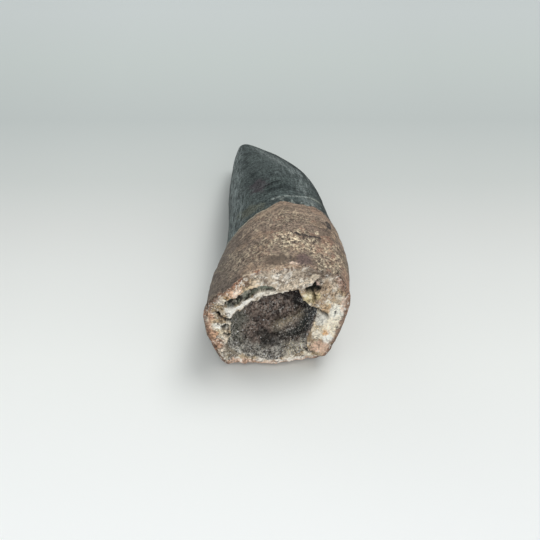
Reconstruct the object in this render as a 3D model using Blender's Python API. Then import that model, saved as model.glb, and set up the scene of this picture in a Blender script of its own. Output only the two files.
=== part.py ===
"""Fossil tooth of a large meat-eating dinosaur, lying on its side.

The crown and its root grew as one piece, so the tooth is one closed solid.
The root is snapped across, and the break lays open the pulp cavity.
X runs across the tooth, Y from the broken root to the tip, and Z is up.
Sizes are in millimetres and are turned into metres as the mesh is made.
"""
from collections import namedtuple
import math

import bmesh
import bpy
import numpy as np

MM = 0.001

# Fineness of the mesh: columns go around the tooth, rows run along it.
COLUMNS = 76
ROOT_ROWS = 12
CROWN_ROWS = 12
TIP_ROWS = 6
BREAK_ROWS = 9
CAVITY_ROWS = 9

# Ribs from the broken root to the tip. left and right are the (x, y, z) ends of
# a rib on the two edges of the tooth, and under and over are its lowest and
# highest point in the middle. The lowest points fall below the bed, where the
# underside is worn flat.
Rib = namedtuple("Rib", "left right under over")
RIBS = (
    Rib((-16.3, 0.0, 14.0), (15.8, 0.0, 18.4), -1.0, 28.0),
    Rib((-15.4, 11.0, 13.6), (16.45, 12.0, 18.0), -1.0, 27.6),
    Rib((-13.2, 22.0, 13.0), (15.4, 23.0, 17.0), -1.0, 26.4),
    Rib((-12.5, 33.0, 12.5), (13.5, 34.5, 15.2), -0.9, 24.6),
    Rib((-12.95, 47.0, 11.6), (11.0, 49.5, 13.2), -0.6, 21.8),
    Rib((-12.8, 61.0, 10.4), (7.0, 60.6, 11.2), 0.4, 17.8),
    Rib((-12.1, 73.0, 9.1), (0.9, 70.0, 9.4), 2.6, 13.8),
    Rib((-11.0, 81.8, 8.0), (-6.4, 77.1, 8.0), 5.2, 10.5),
)
# Roundness of a section: 2 is an ellipse, and more is squarer.
TOP_SQUARENESS = 1.95
UNDER_LEFT_SQUARENESS = 2.95
UNDER_RIGHT_SQUARENESS = 3.8
# Past this station the underside has the crown's own roundness.
CROWN_STATION = 45.0
CROWN_SQUARENESS = 2.2
# How much narrower the underside grows on its way down.
UNDER_TAPER = 0.16
# The blunt, worn tip is a cap of this length.
TIP_CAP = 3.2
# The flat bed on the underside meets the sides in a curve of this height.
BED_CURVE = 0.5

# The enamel margin, where the crown's enamel ends, as (x, y) places across the
# tooth. It arches towards the tip on both faces and runs back along the edges.
MARGIN = (
    (-17.0, 13.0), (-13.0, 20.6), (-9.0, 23.8), (-5.2, 26.3), (-2.8, 27.2), (0.0, 29.0), (1.3, 29.6),
    (3.4, 28.7), (6.2, 27.9), (9.6, 28.8), (11.8, 28.1), (14.2, 25.4), (17.5, 19.5),
)
# The root stands a little proud of the enamel, and its lip is rounded.
ROOT_STEP = 0.35
STEP_LENGTH = 0.5

# The break: where it meets the bed, and how far it leans back for each
# millimetre of height.
BREAK_FOOT = -0.5
BREAK_LEAN = 0.10
# A dent in the break is (x, z, half width, depth) in millimetres.
Dent = namedtuple("Dent", "x z half_width depth")
LEDGE_DENTS = (
    Dent(-9.6, 17.0, 1.9, 1.8),
    Dent(-7.0, 19.0, 2.1, 2.2),
    Dent(-4.4, 20.8, 2.0, 1.9),
    Dent(-1.8, 21.6, 1.7, 1.2),
)
NOTCH_DENT = Dent(8.2, 21.9, 1.9, 3.0)
CORNER_DENTS = (
    Dent(3.6, 0.0, 2.6, 0.5),
    Dent(7.4, 0.8, 2.6, 1.3),
)
LOW_LEFT_DENTS = (
    Dent(-8.8, 4.2, 2.4, 1.2),
    Dent(-4.6, 3.2, 2.2, 0.8),
)
# Where the wall's upper left stands forward, as a dent of negative depth.
SHOULDER_BUMP = Dent(-10.5, 22.0, 5.0, -1.4)
DENTS = LEDGE_DENTS + (NOTCH_DENT, SHOULDER_BUMP) + CORNER_DENTS + LOW_LEFT_DENTS

# The mouth of the pulp cavity, as (x, z) points around its centre.
MOUTH_CENTRE = (-1.2, 11.0)
MOUTH = (
    (8.1, 11.6), (8.8, 14.8), (9.2, 16.0), (7.4, 17.2), (5.8, 18.9), (5.0, 21.5),
    (2.3, 21.2), (-1.1, 20.3), (-3.9, 19.6), (-6.1, 17.9), (-8.4, 16.2), (-10.3, 13.2),
    (-11.0, 9.6), (-11.1, 6.4), (-10.2, 3.6), (-8.0, 2.2), (-4.4, 1.7), (1.6, 1.9),
    (5.1, 2.9), (7.1, 4.6), (7.4, 7.0), (7.5, 9.2),
)
# The cavity narrows to its back end, which lies to the right of the middle.
CAVITY_DEPTH = 19.0
CAVITY_END = (1.0, 12.5)
CAVITY_SQUARENESS = 2.4
# A ridge of hardened mud on the cavity's right side: angle about the mouth's
# centre, depth, half angle, half length, height.
RIDGE_ANGLE = math.radians(-52)
RIDGE_DEPTH = 9.0
RIDGE_HALF_ANGLE = math.radians(24)
RIDGE_HALF_LENGTH = 5.0
RIDGE_HEIGHT = 2.6


def curve_through(stations, values, at):
    """Smooth curve through values at stations, read at the given stations."""
    step = np.diff(stations)
    rise = np.diff(values) / step
    slope = np.empty_like(values)
    slope[1:-1] = (rise[:-1] * step[1:] + rise[1:] * step[:-1]) / (step[1:] + step[:-1])
    slope[0], slope[-1] = rise[0], rise[-1]
    span = np.clip(np.searchsorted(stations, at, side="right") - 1, 0, len(step) - 1)
    t = (at - stations[span]) / step[span]
    start = values[span] * (2 * t**3 - 3 * t**2 + 1) + slope[span] * step[span] * (t**3 - 2 * t**2 + t)
    end = values[span + 1] * (3 * t**2 - 2 * t**3) + slope[span + 1] * step[span] * (t**3 - t**2)
    return start + end


STATIONS = np.array([(rib.left[1] + rib.right[1]) / 2 for rib in RIBS])
LENGTH = STATIONS[-1]


def rib_value(read, at):
    """One measure of the ribs, such as the height, at the given stations."""
    return curve_through(STATIONS, np.array([read(rib) for rib in RIBS], dtype=float), at)


def rounded(value, squareness):
    """Cosine or sine of a superellipse from that of a circle."""
    return np.sign(value) * np.abs(value) ** (2 / squareness)


def skin(station, angle, swell=0.0):
    """Points (x, y, z) of the tooth's outer surface."""
    left = [rib_value(lambda rib: rib.left[axis], station) for axis in range(3)]
    right = [rib_value(lambda rib: rib.right[axis], station) for axis in range(3)]
    under = rib_value(lambda rib: rib.under, station)
    over = rib_value(lambda rib: rib.over, station)
    middle = [(near + far) / 2 for near, far in zip(left, right)]
    half = [(far - near) / 2 for near, far in zip(left, right)]

    cap = np.clip((station - LENGTH + TIP_CAP) / TIP_CAP, 0, 1)
    shrink = np.sqrt(1 - cap**2)
    across, upward = np.cos(angle), np.sin(angle)
    rootward = np.clip(1 - station / CROWN_STATION, 0, 1)
    under_squareness = np.where(across < 0, UNDER_LEFT_SQUARENESS, UNDER_RIGHT_SQUARENESS)
    under_squareness = CROWN_SQUARENESS + (under_squareness - CROWN_SQUARENESS) * rootward
    squareness = np.where(upward > 0, TOP_SQUARENESS, under_squareness)
    across = rounded(across, squareness) * shrink
    upward = rounded(upward, squareness) * shrink
    across = across * (1 - UNDER_TAPER * np.maximum(-upward, 0))

    reach = np.where(upward > 0, over - middle[2], middle[2] - under)
    x = middle[0] + (half[0] + swell) * across
    y = middle[1] + half[1] * across
    z = middle[2] + half[2] * across + (reach + swell) * upward
    return np.stack([x, y, bedded(z)], axis=-1)


def bedded(z):
    """Heights with everything below the bed flattened onto it."""
    curve = (z + BED_CURVE) ** 2 / (4 * BED_CURVE)
    return np.where(z > BED_CURVE, z, np.where(z < -BED_CURVE, 0, curve))


def break_y(x, z):
    """How far back the broken surface lies at a place across the root."""
    y = BREAK_FOOT + BREAK_LEAN * z
    for dent in DENTS:
        distance = np.hypot(x - dent.x, z - dent.z) / dent.half_width
        y = y + dent.depth * np.exp(-distance**2)
    return y


def margin_y(x, z):
    """How far along the enamel margin lies."""
    across, along = np.array(MARGIN).T
    return curve_through(across, along, x) + 0 * z


def station_where(surface, angle, swell):
    """The station at which the skin crosses a surface y = surface(x, z)."""
    low = np.full_like(angle, -2.0)
    high = np.full_like(angle, LENGTH - TIP_CAP)
    for _ in range(40):
        middle = (low + high) / 2
        x, y, z = np.moveaxis(skin(middle, angle, swell), -1, 0)
        before = y < surface(x, z)
        low = np.where(before, middle, low)
        high = np.where(before, high, middle)
    return (low + high) / 2


def mouth_outline(angle):
    """Points (x, z) of the cavity's mouth in the given directions."""
    offsets = np.array(MOUTH) - MOUTH_CENTRE
    directions = np.arctan2(offsets[:, 1], offsets[:, 0])
    radius = np.interp(angle, directions, np.hypot(*offsets.T), period=2 * math.pi)
    return np.stack([radius * np.cos(angle), radius * np.sin(angle)], axis=-1) + MOUTH_CENTRE


def outer_rows(angle):
    """Rows of the outside, from the broken rim to the row next to the tip."""
    rim = station_where(break_y, angle, ROOT_STEP)
    margin = station_where(margin_y, angle, ROOT_STEP)
    root = [
        skin(rim + (margin - rim) * row / ROOT_ROWS, angle, ROOT_STEP)
        for row in range(ROOT_ROWS + 1)
    ]
    crown_start = margin + STEP_LENGTH
    cap_start = LENGTH - TIP_CAP
    crown = [
        skin(crown_start + (cap_start - crown_start) * row / CROWN_ROWS, angle)
        for row in range(CROWN_ROWS)
    ]
    tip = [
        skin(cap_start + TIP_CAP * math.sin(math.pi / 2 * row / TIP_ROWS) + 0 * angle, angle)
        for row in range(TIP_ROWS)
    ]
    return root, crown + tip


def break_rows(rim, angle):
    """Rows across the broken wall, from inside the rim to the cavity's mouth."""
    mouth = mouth_outline(angle)
    rows = []
    for row in range(1, BREAK_ROWS + 1):
        x, z = (rim[:, [0, 2]] + (mouth - rim[:, [0, 2]]) * row / BREAK_ROWS).T
        rows.append(np.stack([x, break_y(x, z), z], axis=-1))
    return rows


def cavity_rows(mouth, angle):
    """Rows of the pulp cavity, from its mouth to the row next to its end."""
    rows = []
    for row in range(1, CAVITY_ROWS):
        depth = math.sin(math.pi / 2 * row / CAVITY_ROWS)
        narrowed = (1 - depth**CAVITY_SQUARENESS) ** (1 / CAVITY_SQUARENESS)
        centre = np.array(MOUTH_CENTRE) + (np.array(CAVITY_END) - MOUTH_CENTRE) * depth
        ridge_turn = (angle - RIDGE_ANGLE + math.pi) % (2 * math.pi) - math.pi
        ridge = RIDGE_HEIGHT * np.exp(
            -((ridge_turn / RIDGE_HALF_ANGLE) ** 2)
            - ((depth * CAVITY_DEPTH - RIDGE_DEPTH) / RIDGE_HALF_LENGTH) ** 2
        )
        offset = mouth[:, [0, 2]] - MOUTH_CENTRE
        radius = np.hypot(*offset.T)
        x, z = (centre + offset * (narrowed * (1 - ridge / radius))[:, None]).T
        y = mouth[:, 1] * (1 - depth) + CAVITY_DEPTH * depth
        rows.append(np.stack([x, y, z], axis=-1))
    return rows


def fossil_material(name, colour, roughness):
    """A plain mineral finish; colour is linear red, green and blue."""
    material = bpy.data.materials.new(name)
    material.use_nodes = True
    shader = material.node_tree.nodes["Principled BSDF"]
    shader.inputs["Base Color"].default_value = (*colour, 1.0)
    shader.inputs["Roughness"].default_value = roughness
    shader.inputs["Metallic"].default_value = 0.0
    return material


def add_row(mesh, points):
    """One closed row of vertices; points are in millimetres."""
    return [mesh.verts.new(point * MM) for point in points]


def join_rows(mesh, near, far, material_index):
    """A band of faces between two rows of vertices."""
    for column, vertex in enumerate(near):
        after = (column + 1) % len(near)
        face = mesh.faces.new((vertex, near[after], far[after], far[column]))
        face.material_index = material_index


def close_row(mesh, row, pole, material_index):
    """A fan of faces from a row to one vertex."""
    for column, vertex in enumerate(row):
        face = mesh.faces.new((vertex, row[(column + 1) % len(row)], pole))
        face.material_index = material_index


def make_tooth():
    """The whole tooth, origin under the middle of its box."""
    angle = np.linspace(0, 2 * math.pi, COLUMNS, endpoint=False)
    root, crown = outer_rows(angle)
    broken = break_rows(root[0], angle)
    cavity = cavity_rows(broken[-1], angle)
    tip = skin(np.array([LENGTH]), np.array([0.0]))
    cavity_end = np.array([[CAVITY_END[0], CAVITY_DEPTH, CAVITY_END[1]]])

    everything = np.concatenate(root + crown + broken + cavity + [tip, cavity_end])
    low, high = everything.min(axis=0), everything.max(axis=0)
    origin = np.array([(low[0] + high[0]) / 2, (low[1] + high[1]) / 2, low[2]])

    mesh = bmesh.new()
    zones = ((cavity[::-1], 3), (broken[::-1], 2), (root, 1), (crown, 0))
    last = None
    for rows, material_index in zones:
        for points in rows:
            row = add_row(mesh, points - origin)
            if last is None:
                pole = mesh.verts.new((cavity_end[0] - origin) * MM)
                close_row(mesh, row, pole, material_index)
            else:
                join_rows(mesh, last, row, material_index)
            last = row
    close_row(mesh, last, mesh.verts.new((tip[0] - origin) * MM), 0)
    bmesh.ops.recalc_face_normals(mesh, faces=mesh.faces)

    data = bpy.data.meshes.new("tooth")
    mesh.to_mesh(data)
    mesh.free()
    for material in (
        fossil_material("polished grey enamel", (0.065, 0.076, 0.072), 0.42),
        fossil_material("brown root dentine", (0.227, 0.165, 0.125), 0.7),
        fossil_material("cream broken dentine", (0.45, 0.34, 0.25), 0.85),
        fossil_material("dark mud in the pulp cavity", (0.09, 0.07, 0.065), 0.9),
    ):
        data.materials.append(material)
    data.shade_smooth()
    data.set_sharp_from_angle(angle=math.radians(50))
    tooth = bpy.data.objects.new("tooth", data)
    bpy.context.collection.objects.link(tooth)
    return tooth


for leftover in list(bpy.data.objects):
    bpy.data.objects.remove(leftover)
make_tooth()
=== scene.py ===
import math
from collections import namedtuple

import bpy
import numpy as np
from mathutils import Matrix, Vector


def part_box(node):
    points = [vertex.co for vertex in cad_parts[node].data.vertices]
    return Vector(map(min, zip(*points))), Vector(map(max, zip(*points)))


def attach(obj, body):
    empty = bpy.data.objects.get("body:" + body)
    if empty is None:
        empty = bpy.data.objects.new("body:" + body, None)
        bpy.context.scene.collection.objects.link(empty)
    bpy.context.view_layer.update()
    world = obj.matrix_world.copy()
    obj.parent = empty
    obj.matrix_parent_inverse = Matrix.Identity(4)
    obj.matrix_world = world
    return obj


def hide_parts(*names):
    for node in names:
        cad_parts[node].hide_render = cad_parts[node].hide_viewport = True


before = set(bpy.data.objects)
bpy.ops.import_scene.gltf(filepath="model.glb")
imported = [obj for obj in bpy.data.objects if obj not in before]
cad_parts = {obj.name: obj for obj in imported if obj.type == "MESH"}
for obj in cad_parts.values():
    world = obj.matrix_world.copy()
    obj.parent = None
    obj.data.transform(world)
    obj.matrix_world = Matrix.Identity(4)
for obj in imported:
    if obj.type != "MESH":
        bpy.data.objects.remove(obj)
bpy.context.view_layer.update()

# --------------------------------------
# Root. The lower part of the tooth, which sat in the jaw: dentine under a thin
# skin of cementum, turned to brown stone. It grew in rings, so faint ridges
# follow the enamel margin, and a pale limy crust clings to its upper face.
# --------------------------------------

MM = 0.001
ROOT_COLUMNS = 430
ROOT_ROWS = 90
# The lip at the enamel margin is a small curve, with rings drawn in under it by
# these shares.
LIP_ROWS = 5
LIP_CURVE = 0.25
LIP_SETBACK = 0.2
LIP_INSETS = (0.62, 0.3, 0.1, 0.045)

# Ribs of the tooth in millimetres, from the broken root to the tip: the ends
# of a rib on the tooth's two edges, and its lowest and highest point.
Rib = namedtuple("Rib", "left right under over")
RIBS = (
    Rib((-16.3, 0.0, 14.0), (15.8, 0.0, 18.4), -1.0, 28.0),
    Rib((-15.4, 11.0, 13.6), (16.45, 12.0, 18.0), -1.0, 27.6),
    Rib((-13.2, 22.0, 13.0), (15.4, 23.0, 17.0), -1.0, 26.4),
    Rib((-12.5, 33.0, 12.5), (13.5, 34.5, 15.2), -0.9, 24.6),
    Rib((-12.95, 47.0, 11.6), (11.0, 49.5, 13.2), -0.6, 21.8),
    Rib((-12.8, 61.0, 10.4), (7.0, 60.6, 11.2), 0.4, 17.8),
    Rib((-12.1, 73.0, 9.1), (0.9, 70.0, 9.4), 2.6, 13.8),
    Rib((-11.0, 81.8, 8.0), (-6.4, 77.1, 8.0), 5.2, 10.5),
)
# Roundness of a section: 2 is an ellipse, and more is squarer. Past the crown's
# station the underside has the crown's own roundness.
TOP_SQUARENESS = 1.95
UNDER_LEFT_SQUARENESS = 2.95
UNDER_RIGHT_SQUARENESS = 3.8
CROWN_STATION = 45.0
CROWN_SQUARENESS = 2.2
UNDER_TAPER = 0.16
TIP_CAP = 3.2
BED_CURVE = 0.5
STATIONS = np.array([(rib.left[1] + rib.right[1]) / 2 for rib in RIBS])
LENGTH = STATIONS[-1]
CAP_START = LENGTH - TIP_CAP

# The enamel margin, as (x, y) places across the tooth. It arches towards the
# tip on both faces and runs back along the edges.
MARGIN = (
    (-17.0, 13.0), (-13.0, 20.6), (-9.0, 23.8), (-5.2, 26.3), (-2.8, 27.2), (0.0, 29.0), (1.3, 29.6),
    (3.4, 28.7), (6.2, 27.9), (9.6, 28.8), (11.8, 28.1), (14.2, 25.4), (17.5, 19.5),
)
# The root stands this far proud of the enamel.
ROOT_STEP = 0.35
# How often the search for a crossing of two surfaces halves its range.
HALVINGS = 34


def joined(x, y, z):
    """Places (x, y, z) from three arrays or numbers."""
    return np.stack(np.broadcast_arrays(x, y, z), axis=-1)


def curve_through(stations, values, at):
    """Smooth curve through values at stations, read at the given stations."""
    step = np.diff(stations)
    rise = np.diff(values) / step
    slope = np.empty_like(values)
    slope[1:-1] = (rise[:-1] * step[1:] + rise[1:] * step[:-1]) / (step[1:] + step[:-1])
    slope[0], slope[-1] = rise[0], rise[-1]
    span = np.clip(np.searchsorted(stations, at, side="right") - 1, 0, len(step) - 1)
    t = (at - stations[span]) / step[span]
    start = values[span] * (2 * t**3 - 3 * t**2 + 1) + slope[span] * step[span] * (t**3 - 2 * t**2 + t)
    end = values[span + 1] * (3 * t**2 - 2 * t**3) + slope[span + 1] * step[span] * (t**3 - t**2)
    return start + end


def rib_value(read, at):
    """One measure of the ribs at the given stations."""
    return curve_through(STATIONS, np.array([read(rib) for rib in RIBS], dtype=float), at)


def rounded(value, squareness):
    """Cosine or sine of a superellipse from that of a circle."""
    return np.sign(value) * np.abs(value) ** (2 / squareness)


def skin(station, angle, swell=0.0):
    """Points (x, y, z) of the tooth's outer surface, in millimetres."""
    left = [rib_value(lambda rib: rib.left[axis], station) for axis in range(3)]
    right = [rib_value(lambda rib: rib.right[axis], station) for axis in range(3)]
    under = rib_value(lambda rib: rib.under, station)
    over = rib_value(lambda rib: rib.over, station)
    middle = [(near + far) / 2 for near, far in zip(left, right)]
    half = [(far - near) / 2 for near, far in zip(left, right)]

    cap = np.clip((station - LENGTH + TIP_CAP) / TIP_CAP, 0, 1)
    shrink = np.sqrt(1 - cap**2)
    across, upward = np.cos(angle), np.sin(angle)
    rootward = np.clip(1 - station / CROWN_STATION, 0, 1)
    under_squareness = np.where(across < 0, UNDER_LEFT_SQUARENESS, UNDER_RIGHT_SQUARENESS)
    under_squareness = CROWN_SQUARENESS + (under_squareness - CROWN_SQUARENESS) * rootward
    squareness = np.where(upward > 0, TOP_SQUARENESS, under_squareness)
    across = rounded(across, squareness) * shrink
    upward = rounded(upward, squareness) * shrink
    across = across * (1 - UNDER_TAPER * np.maximum(-upward, 0))

    reach = np.where(upward > 0, over - middle[2], middle[2] - under)
    x = middle[0] + (half[0] + swell) * across
    y = middle[1] + half[1] * across
    z = middle[2] + half[2] * across + (reach + swell) * upward
    curve = (z + BED_CURVE) ** 2 / (4 * BED_CURVE)
    z = np.where(z > BED_CURVE, z, np.where(z < -BED_CURVE, 0, curve))
    return joined(x, y, z)


def lattice_value(corner, seed):
    """A fixed random number from 0 to 1 for each whole-number corner."""
    x, y, z = np.moveaxis(corner.astype(np.int64), -1, 0)
    mixed = (x * 374761393 + y * 668265263 + z * 1442695041 + seed * 1013904223) & 0xFFFFFFFF
    mixed = ((mixed ^ (mixed >> 13)) * 1274126177) & 0xFFFFFFFF
    mixed = ((mixed ^ (mixed >> 15)) * 2246822519) & 0xFFFFFFFF
    return (mixed ^ (mixed >> 16)) / 4294967296.0


def mottle(points, size, seed, layers=3):
    """Soft three-dimensional mottling from -1 to 1 with lumps of the given size."""
    total, strength, weight = 0.0, 1.0, 0.0
    for layer in range(layers):
        scaled = points / size * 2.03**layer + 17.3 * layer
        base = np.floor(scaled)
        part = scaled - base
        part = part**3 * (part * (part * 6 - 15) + 10)
        value = 0.0
        for corner in np.ndindex(2, 2, 2):
            share = np.prod(np.where(np.array(corner) == 1, part, 1 - part), axis=-1)
            value = value + share * lattice_value(base + corner, seed + 31 * layer)
        total = total + strength * (value * 2 - 1)
        weight += strength
        strength *= 0.55
    return total / weight * 1.6


def pits(points, size, share, seed):
    """Round hollows from 0 to 1: one to a cell of the given size, in a share of the cells."""
    scaled = points / size
    base = np.floor(scaled)
    deepest = np.zeros(points.shape[:-1])
    for step in np.ndindex(3, 3, 3):
        cell = base + step - 1
        centre = cell + 0.2 + 0.6 * np.stack([lattice_value(cell, seed + k) for k in range(3)], axis=-1)
        radius = 0.18 + 0.27 * lattice_value(cell, seed + 3)
        here = lattice_value(cell, seed + 4) < share
        distance = np.linalg.norm(scaled - centre, axis=-1) / radius
        deepest = np.maximum(deepest, here * np.clip(1 - distance**2, 0, 1))
    return deepest


def chips(points, size, seed):
    """Flat tilted chips from -1 to 1 of the given size, and the distance to the edge between them."""
    scaled = points / size
    base = np.floor(scaled)
    nearest = np.full(points.shape[:-1], np.inf)
    second = nearest.copy()
    height = np.zeros_like(nearest)
    for step in np.ndindex(3, 3, 3):
        cell = base + step - 1
        chance = np.stack([lattice_value(cell, seed + k) for k in range(7)], axis=-1)
        offset = scaled - cell - chance[..., :3]
        distance = np.linalg.norm(offset, axis=-1)
        level = chance[..., 3] * 2 - 1 + np.sum(offset * (chance[..., 4:] * 2 - 1), axis=-1)
        closer = distance < nearest
        second = np.where(closer, nearest, np.minimum(second, distance))
        height = np.where(closer, level, height)
        nearest = np.where(closer, distance, nearest)
    return height, (second - nearest) * size


def ramp_up(value, low, high):
    """0 below low, rising smoothly to 1 above high."""
    t = np.clip((value - low) / (high - low), 0, 1)
    return t * t * (3 - 2 * t)


def ramp_down(value, low, high):
    """1 below low, falling smoothly to 0 above high."""
    return 1 - ramp_up(value, low, high)


def bell(distance, width):
    """1 at no distance, falling to about a third at the width."""
    return np.exp(-((distance / width) ** 2))


def patchy(low, high, *mottling):
    """Patches from 0 to 1, where mottling rises from low to high."""
    return ramp_up(mottle(*mottling), low, high)


def margin_y(x, z):
    """How far along the enamel margin lies; it wanders by a fraction of a millimetre."""
    across, along = np.array(MARGIN).T
    return curve_through(across, along, x) + 0.2 * mottle(joined(x, 0, z), 1.6, 71, 2)


def station_where(surface, angle, swell):
    """The station at which the skin crosses a surface y = surface(x, z)."""
    low = np.full_like(angle, -3.0)
    high = np.full_like(angle, CAP_START)
    for _ in range(HALVINGS):
        middle = (low + high) / 2
        x, y, z = np.moveaxis(skin(middle, angle, swell), -1, 0)
        before = y < surface(x, z)
        low = np.where(before, middle, low)
        high = np.where(before, high, middle)
    return (low + high) / 2


# --------------------------------------
# Break. The root snapped across its dentine wall, in a rough cream and salmon
# face layered like an onion. A flake fell out at the upper left and left a
# groove, painted dark as shade, behind a thin inner layer, and a splinter hole
# opens at the upper right.
# --------------------------------------

BREAK_ROWS = 38
BREAK_FOOT = -1.5
BREAK_LEAN = 0.135
UNDERCUT = 1.7
UNDERCUT_HEIGHT = 0.9
# Hollows in the break; a depth below 0 is a bulge.
Dent = namedtuple("Dent", "x z half_width depth")
DENTS = (
    Dent(-10.5, 23.0, 5.0, -2.9),
    Dent(13.2, 24.6, 3.2, 1.7),
    Dent(0.5, 28.0, 4.5, -1.3),
    Dent(3.6, 0.0, 2.6, 0.8),
    Dent(7.4, 0.8, 2.6, 1.6),
    Dent(-8.8, 4.2, 2.4, 1.2),
    Dent(-4.6, 3.2, 2.2, 0.8),
    Dent(-3.0, 0.3, 5.0, -0.4),
    Dent(11.2, 0.9, 2.4, 1.3),
)
# Lines on the break, as (x, z) in millimetres, read from the broken end.
FLAKE_GROOVE = (
    (-10.3, 19.8), (-9.4, 20.9), (-7.9, 21.5), (-6.0, 22.1), (-4.2, 22.5), (-2.4, 22.4), (-0.9, 21.9),
)
INNER_LAYER = (
    (-10.6, 15.4), (-9.9, 17.2), (-8.4, 18.4), (-6.8, 19.6), (-5.4, 20.1), (-4.2, 20.7), (-3.2, 21.3),
    (-1.2, 21.4), (2.0, 22.0),
)
SPLINTER_HOLE = ((6.9, 22.0), (8.0, 22.3), (8.9, 22.5))
SPLINTER_TAIL = ((8.1, 23.0), (8.4, 24.0), (8.8, 24.9))
WHITE_WEDGE = ((1.0, 22.6), (5.0, 23.1), (7.2, 24.4), (8.4, 26.0))
SHELF_LINE = ((9.9, 25.9), (11.5, 25.6), (13.7, 24.9))
RIGHT_CRACK = ((8.3, 17.4), (9.7, 16.5), (11.1, 15.5), (11.5, 14.8))
BLOCK_CRACK = ((7.9, 21.4), (8.4, 20.7), (8.5, 19.6))
LEFT_CRACK = ((-13.8, 16.2), (-12.5, 14.6), (-11.6, 13.9), (-10.3, 13.8))
FOLD_LINE = ((-13.2, 22.0), (-12.3, 21.4), (-11.5, 19.9))
LEFT_CURL = ((-12.2, 9.6), (-11.4, 9.3), (-10.9, 9.8))
LEFT_CURL_HIGH = ((-12.4, 11.2), (-11.9, 12.0), (-11.2, 12.3))
BLOCK_NOTCH = ((6.6, 5.2), (7.2, 4.3), (8.3, 3.5))
PORE = (13.2, 15.9)
# The mouth of the pulp cavity.
MOUTH_CENTRE = (-1.2, 11.0)
MOUTH = (
    (7.9, 11.6), (8.6, 14.0), (9.1, 16.5), (8.0, 17.4), (7.0, 18.1), (6.0, 19.3), (5.3, 20.6),
    (4.7, 22.0), (2.6, 22.0), (0.6, 21.5), (-1.2, 20.9), (-2.6, 20.9), (-3.5, 20.5), (-4.3, 19.2),
    (-6.4, 18.9), (-8.4, 17.1), (-9.6, 15.4), (-10.3, 14.2), (-10.8, 12.0), (-10.7, 9.7), (-11.5, 6.7),
    (-10.9, 4.4), (-8.5, 2.9), (-4.4, 2.3), (1.6, 2.8), (5.1, 3.5), (6.6, 4.8), (7.1, 6.8), (7.2, 8.6),
    (7.5, 10.0),
)


def line_distance(line, x, z):
    """Distance in millimetres from each place to a line of points."""
    nearest = np.full(np.shape(x), np.inf)
    for (x0, z0), (x1, z1) in zip(line, line[1:]):
        run, rise = x1 - x0, z1 - z0
        t = np.clip(((x - x0) * run + (z - z0) * rise) / (run**2 + rise**2), 0, 1)
        nearest = np.minimum(nearest, np.hypot(x - x0 - t * run, z - z0 - t * rise))
    return nearest


def sunk(x, z):
    """Depth of the groove, the hole and the cracks at a place across the root."""
    jitter = 0.45 * mottle(joined(x, 0, z), 1.7, 5, 2)
    half_width = np.interp(x, (-9.5, -6.5, -3.0, -1.0), (1.7, 1.5, 1.05, 0.8))
    groove = ramp_down((line_distance(FLAKE_GROOVE, x, z) + 0.35 * jitter) / half_width, 0.5, 1.0)
    behind_layer = ramp_up(line_distance(INNER_LAYER, x, z) + 0.4 * jitter, 0.45, 0.75)
    depth = (1.0 + 1.2 * ramp_down(x, -7.0, -2.0)) * groove * behind_layer
    depth = depth + 3.2 * ramp_down(line_distance(SPLINTER_HOLE, x, z) + 0.6 * jitter, 0.4, 0.9)
    depth = depth + 2.0 * ramp_down(line_distance(SPLINTER_TAIL, x, z) + 0.3 * jitter, 0.0, 0.4)
    for line, width, most in (
        (RIGHT_CRACK, 0.45, 1.5),
        (BLOCK_CRACK, 0.5, 0.9),
        (LEFT_CRACK, 0.6, 1.8),
        (FOLD_LINE, 0.4, 0.8),
        (SHELF_LINE, 0.45, 0.9),
        (LEFT_CURL, 0.5, 1.3),
        (LEFT_CURL_HIGH, 0.5, 1.2),
        (BLOCK_NOTCH, 0.5, 0.9),
    ):
        depth = depth + most * ramp_down(line_distance(line, x, z) + 0.2 * jitter, 0.0, width)
    return depth


def break_y(x, z):
    """How far back the broken surface lies at a place across the root."""
    places = joined(x, 0, z)
    y = BREAK_FOOT + BREAK_LEAN * z + 0.45 * mottle(places, 5.0, 3) + 0.16 * mottle(places, 1.2, 9)
    y = y + UNDERCUT * ramp_down(z, 0.0, UNDERCUT_HEIGHT)
    for dent in DENTS:
        y = y + dent.depth * bell(np.hypot(x - dent.x, z - dent.z), dent.half_width)
    return y + sunk(x, z)


def mouth_outline(angle):
    """Points (x, z) of the cavity's mouth in the given directions."""
    offsets = np.array(MOUTH) - MOUTH_CENTRE
    directions = np.arctan2(offsets[:, 1], offsets[:, 0])
    radius = np.interp(angle, directions, np.hypot(*offsets.T), period=2 * math.pi)
    return np.stack([radius * np.cos(angle), radius * np.sin(angle)], axis=-1) + MOUTH_CENTRE


# --------------------------------------
# Pulp cavity. The hollow that held the living pulp. Dark mud washed in and
# hardened in it: purple-brown at the back, pale and gritty at the front, with
# a tan ridge on the right, partly a painted highlight, and a gap beside it. The
# gap and the cavity's roof are painted dark as shade.
# --------------------------------------

CAVITY_ROWS = 64
CAVITY_DEPTH = 19.0
CAVITY_END = (1.0, 12.5)
CAVITY_SQUARENESS = 2.4
# The ridge and the gap are lines of (x, y) places on the mud.
RIDGE_LINE = ((0.2, 8.0), (1.8, 8.8), (4.0, 9.8), (5.6, 10.4))
RIDGE_HEIGHT = 0.9
RIDGE_WIDTH = 1.5
GAP_LINE = ((3.0, 6.4), (5.0, 6.8), (6.6, 8.2))
GAP_DEPTH = 1.0


def cavity_floor_rise(x, y, z):
    """Height added to the cavity's floor by the ridge, less the gap beside it."""
    low = ramp_down(z, 5.5, 9.5)
    ridge = RIDGE_HEIGHT * bell(line_distance(RIDGE_LINE, x, y), RIDGE_WIDTH)
    gap = GAP_DEPTH * bell(line_distance(GAP_LINE, x, y), RIDGE_WIDTH)
    return low * (ridge - gap)


# --------------------------------------
# The root, its break and its cavity are one skin: rows of points run from
# inside the lip at the enamel margin, back along the root, over the broken
# rim, in over the wall and down the cavity.
# --------------------------------------

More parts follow.
